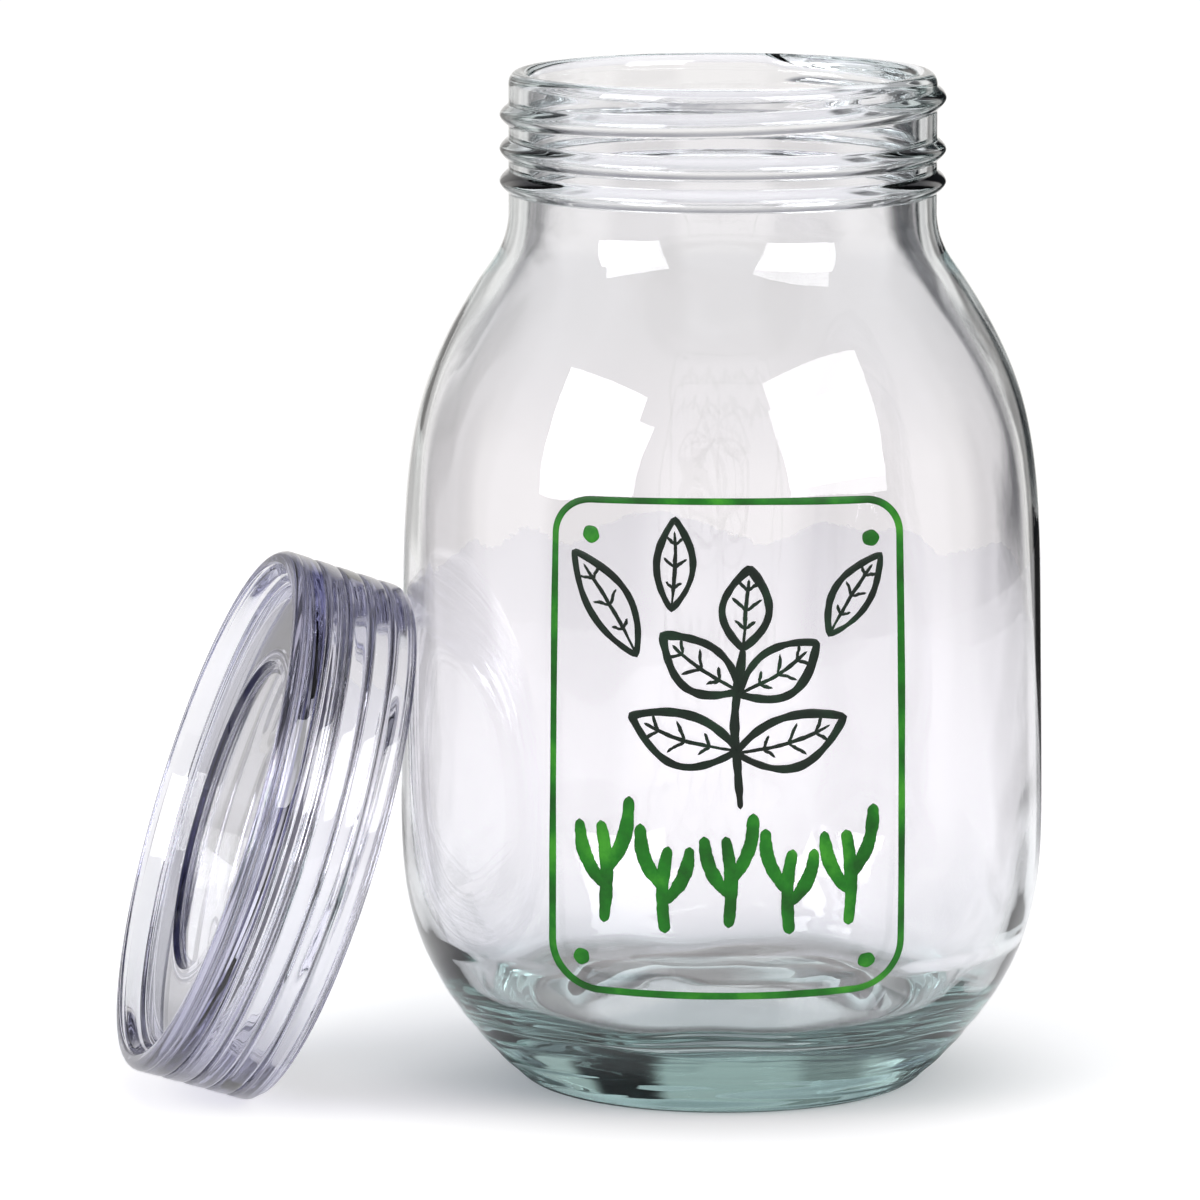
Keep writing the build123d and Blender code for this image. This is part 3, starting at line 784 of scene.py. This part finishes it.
def floor_disc(radius):
    verts = [(0, 0, 0)]
    k = 128
    radii = [0.2, 0.4, radius]
    for r in radii:
        for i in range(k):
            a = 2 * math.pi * i / k
            verts.append((r * math.cos(a), r * math.sin(a), 0))
    faces = [(0, 1 + i, 1 + (i + 1) % k) for i in range(k)]
    for q in range(len(radii) - 1):
        for i in range(k):
            a0, b0 = 1 + q * k, 1 + (q + 1) * k
            faces.append((a0 + i, b0 + i, b0 + (i + 1) % k, a0 + (i + 1) % k))
    ob = make_mesh("studio_floor", verts, faces)
    ob.location.z = -0.0002
    m, nt, out = new_material("floor_white")
    b = nt.nodes.new("ShaderNodeBsdfPrincipled")
    b.inputs["Base Color"].default_value = (0.90, 0.898, 0.91, 1)
    b.inputs["Roughness"].default_value = 0.75
    b.inputs["Specular IOR Level"].default_value = 0.2
    b.inputs["Emission Color"].default_value = (1.0, 0.985, 0.965, 1)
    geo = nt.nodes.new("ShaderNodeNewGeometry")
    ln = nt.nodes.new("ShaderNodeVectorMath")
    ln.operation = "LENGTH"
    nt.links.new(geo.outputs["Position"], ln.inputs[0])
    glows = []
    for table in (FLOOR_GLOW_AND_SHADOW, FLOOR_BACK_GLOW_AND_SHADOW):
        glow = nt.nodes.new("ShaderNodeValToRGB")
        nt.links.new(ln.outputs["Value"], glow.inputs["Fac"])
        ramp_ = glow.color_ramp.elements
        ramp_[0].position, ramp_[0].color = table[0][0], (table[0][1],) * 3 + (1,)
        ramp_[1].position, ramp_[1].color = table[-1][0], (table[-1][1],) * 3 + (1,)
        for pos, v in table[1:-1]:
            e = ramp_.new(pos)
            e.color = (v, v, v, 1)
        glows.append(glow)
    lp = nt.nodes.new("ShaderNodeLightPath")
    # painted flag bands: beyond this radius, out of the picture, the floor is coloured near black where flags would
    # stand, for rays other than camera rays
    sp = nt.nodes.new("ShaderNodeSeparateXYZ")
    nt.links.new(geo.outputs["Position"], sp.inputs[0])

    def calc(op, *args):
        q = nt.nodes.new("ShaderNodeMath")
        q.operation = op
        for i, v in enumerate(args):
            if isinstance(v, (int, float)):
                q.inputs[i].default_value = v
            else:
                nt.links.new(v, q.inputs[i])
        return q.outputs[0]

    # measured from the jar's two sides, 57 mm out
    out_x = calc("MULTIPLY", calc("MAXIMUM", calc("SUBTRACT", calc("ABSOLUTE", sp.outputs["X"]), 0.057), 0.0), calc("SIGN", sp.outputs["X"]))
    at = calc("ARCTAN2", out_x, calc("SUBTRACT", sp.outputs["Y"], 0.02))
    far = nt.nodes.new("ShaderNodeMapRange")
    far.interpolation_type = "SMOOTHSTEP"
    far.inputs["From Min"].default_value, far.inputs["From Max"].default_value = 0.18, 0.30
    nt.links.new(ln.outputs["Value"], far.inputs["Value"])
    painted_flag_dark = nt.nodes.new("ShaderNodeMath")      # painted flag bands; the wide ones only dim the floor, by half
    painted_flag_dark.operation = "MULTIPLY"
    nt.links.new(calc("MULTIPLY", flag_ramp(nt, at), calc("MAXIMUM", calc("LESS_THAN", calc("ABSOLUTE", at), math.radians(34)), 0.5)), painted_flag_dark.inputs[0])
    nt.links.new(far.outputs["Result"], painted_flag_dark.inputs[1])
    foot = nt.nodes.new("ShaderNodeValToRGB")      # painted contact shadow along the bearing ring, where little light reaches: rays other than camera rays see the floor's glow cut to a tenth and its colour taken most of the way to near black there
    nt.links.new(ln.outputs["Value"], foot.inputs["Fac"])
    foot.color_ramp.elements[0].position, foot.color_ramp.elements[0].color = 0.024, (1, 1, 1, 1)
    foot.color_ramp.elements[1].position, foot.color_ramp.elements[1].color = 0.056, (1, 1, 1, 1)
    for pos in (0.030, 0.042):
        e = foot.color_ramp.elements.new(pos)
        e.color = (0.10, 0.10, 0.10, 1)
    seen = nt.nodes.new("ShaderNodeMath")
    seen.operation = "MULTIPLY"
    nt.links.new(foot.outputs["Color"], seen.inputs[1])
    nt.links.new(calc("SUBTRACT", 1.0, painted_flag_dark.outputs[0]), seen.inputs[0])
    back = nt.nodes.new("ShaderNodeMath")
    back.operation = "MULTIPLY"
    nt.links.new(glows[1].outputs["Color"], back.inputs[0])
    nt.links.new(seen.outputs[0], back.inputs[1])
    pick = nt.nodes.new("ShaderNodeMix")
    nt.links.new(lp.outputs["Is Camera Ray"], pick.inputs["Factor"])
    nt.links.new(back.outputs[0], pick.inputs["A"])
    nt.links.new(glows[0].outputs["Color"], pick.inputs["B"])
    nt.links.new(pick.outputs["Result"], b.inputs["Emission Strength"])
    lit = nt.nodes.new("ShaderNodeMath")
    lit.operation = "MAXIMUM"
    nt.links.new(seen.outputs[0], lit.inputs[0])
    nt.links.new(lp.outputs["Is Camera Ray"], lit.inputs[1])
    # painted shade and painted flag bands: for rays other than camera rays the floor's colour goes near black along the
    # bearing ring and in the flag bands
    paint = nt.nodes.new("ShaderNodeMix")
    paint.data_type = "RGBA"
    nt.links.new(lit.outputs[0], paint.inputs["Factor"])
    paint.inputs["A"].default_value = (0.02, 0.02, 0.02, 1)
    paint.inputs["B"].default_value = (0.90, 0.898, 0.91, 1)
    nt.links.new(paint.outputs["Result"], b.inputs["Base Color"])
    nt.links.new(b.outputs[0], out.inputs["Surface"])
    ob.data.materials.append(m)
    return ob


floor_disc(0.8)

world = bpy.data.worlds.new("studio")
bpy.context.scene.world = world
world.use_nodes = True
nt = world.node_tree
nt.nodes.clear()
out = nt.nodes.new("ShaderNodeOutputWorld")


def math_node(op, a, b=None):
    q = nt.nodes.new("ShaderNodeMath")
    q.operation = op
    for i, v in enumerate((a, b)):
        if v is None:
            continue
        if isinstance(v, (int, float)):
            q.inputs[i].default_value = v
        else:
            nt.links.new(v, q.inputs[i])
    return q.outputs[0]


tc = nt.nodes.new("ShaderNodeTexCoord")
sep = nt.nodes.new("ShaderNodeSeparateXYZ")
nt.links.new(tc.outputs["Generated"], sep.inputs[0])
az = math_node("ARCTAN2", sep.outputs["X"], sep.outputs["Y"])
# the wide flags end just under the horizon; the narrow ones behind the object go on down
above = nt.nodes.new("ShaderNodeMapRange")
above.interpolation_type = "SMOOTHSTEP"
above.inputs["From Min"].default_value, above.inputs["From Max"].default_value = -0.225, -0.195
nt.links.new(sep.outputs["Z"], above.inputs["Value"])
narrow = math_node("LESS_THAN", math_node("ABSOLUTE", az), math.radians(34))
stripe = math_node("MULTIPLY", flag_ramp(nt, az), math_node("MAXIMUM", above.outputs["Result"], narrow))
ramp = nt.nodes.new("ShaderNodeValToRGB")      # brightness by height
nt.links.new(math_node("MULTIPLY_ADD", sep.outputs["Z"], 0.5), ramp.inputs["Fac"])
ramp.inputs["Fac"].links[0].from_node.inputs[2].default_value = 0.5
els = ramp.color_ramp.elements
els[0].position, els[0].color = 0.0, (0.96, 0.945, 0.925, 1)
els[1].position, els[1].color = 1.0, (0.30, 0.30, 0.32, 1)
for pos, col in ((0.62, (0.96, 0.945, 0.925, 1)), (0.72, (0.42, 0.42, 0.45, 1))):
    e = els.new(pos)
    e.color = col
mixd = nt.nodes.new("ShaderNodeMix")
mixd.data_type = "RGBA"
nt.links.new(stripe, mixd.inputs["Factor"])
nt.links.new(ramp.outputs["Color"], mixd.inputs["A"])
mixd.inputs["B"].default_value = (0.02, 0.022, 0.025, 1)
bg = nt.nodes.new("ShaderNodeBackground")
nt.links.new(mixd.outputs["Result"], bg.inputs["Color"])
bg.inputs["Strength"].default_value = 1.0
white = nt.nodes.new("ShaderNodeBackground")
white.inputs["Color"].default_value = (1.0, 1.0, 1.0, 1)
white.inputs["Strength"].default_value = 1.05
lp = nt.nodes.new("ShaderNodeLightPath")
mx = nt.nodes.new("ShaderNodeMixShader")
nt.links.new(lp.outputs["Is Camera Ray"], mx.inputs[0])
nt.links.new(bg.outputs[0], mx.inputs[1])
nt.links.new(white.outputs[0], mx.inputs[2])
nt.links.new(mx.outputs[0], out.inputs["Surface"])

TARGET = Vector((0, 0, 0.10))


def softbox(name, az, el, dist, w, h, radiance, glossy=True, colour=(1, 1, 1)):
    """A rectangular area light. az is 0 towards the camera and grows to the right."""
    a, e = math.radians(az), math.radians(el)
    d = Vector((math.sin(a) * math.cos(e), -math.cos(a) * math.cos(e), math.sin(e)))
    L = bpy.data.lights.new(name, "AREA")
    L.shape = "RECTANGLE"
    L.size, L.size_y = w, h
    L.energy = radiance * math.pi * w * h
    L.color = colour
    ob = bpy.data.objects.new(name, L)
    bpy.context.scene.collection.objects.link(ob)
    ob.location = TARGET + d * dist
    ob.rotation_euler = d.to_track_quat("Z", "Y").to_euler()
    ob.visible_camera = False
    if not glossy:
        ob.visible_glossy = False
        ob.visible_transmission = False
    return ob


softbox("softbox_left", -53, 23, 1.5, 0.90, 0.78, 8.0)
softbox("softbox_right", 42, 27, 1.5, 1.02, 0.92, 6.0)
softbox("overhead", 0, 88, 1.5, 1.6, 1.6, 0.62, glossy=False)

# ------------------------------------------------------------------ camera
cam = bpy.data.cameras.new("camera")
cam.sensor_width = 36.0
cam.lens = 8505.0 / 1200.0 * 36.0
cam.clip_start, cam.clip_end = 0.05, 50
cob = bpy.data.objects.new("camera", cam)
bpy.context.scene.collection.objects.link(cob)
cob.location = (-0.02319, -1.600, 0.338)
cob.rotation_euler = (math.radians(90 - 8.74), 0, 0)
bpy.context.scene.camera = cob

sc = bpy.context.scene
sc.view_settings.view_transform = "Standard"
sc.view_settings.look = "None"
sc.cycles.max_bounces = 24
sc.cycles.transmission_bounces = 20
sc.cycles.glossy_bounces = 10
sc.cycles.diffuse_bounces = 3
sc.cycles.transparent_max_bounces = 24
sc.cycles.caustics_refractive = False
sc.cycles.caustics_reflective = False
sc.cycles.sample_clamp_indirect = 8.0
sc.cycles.use_denoising = True
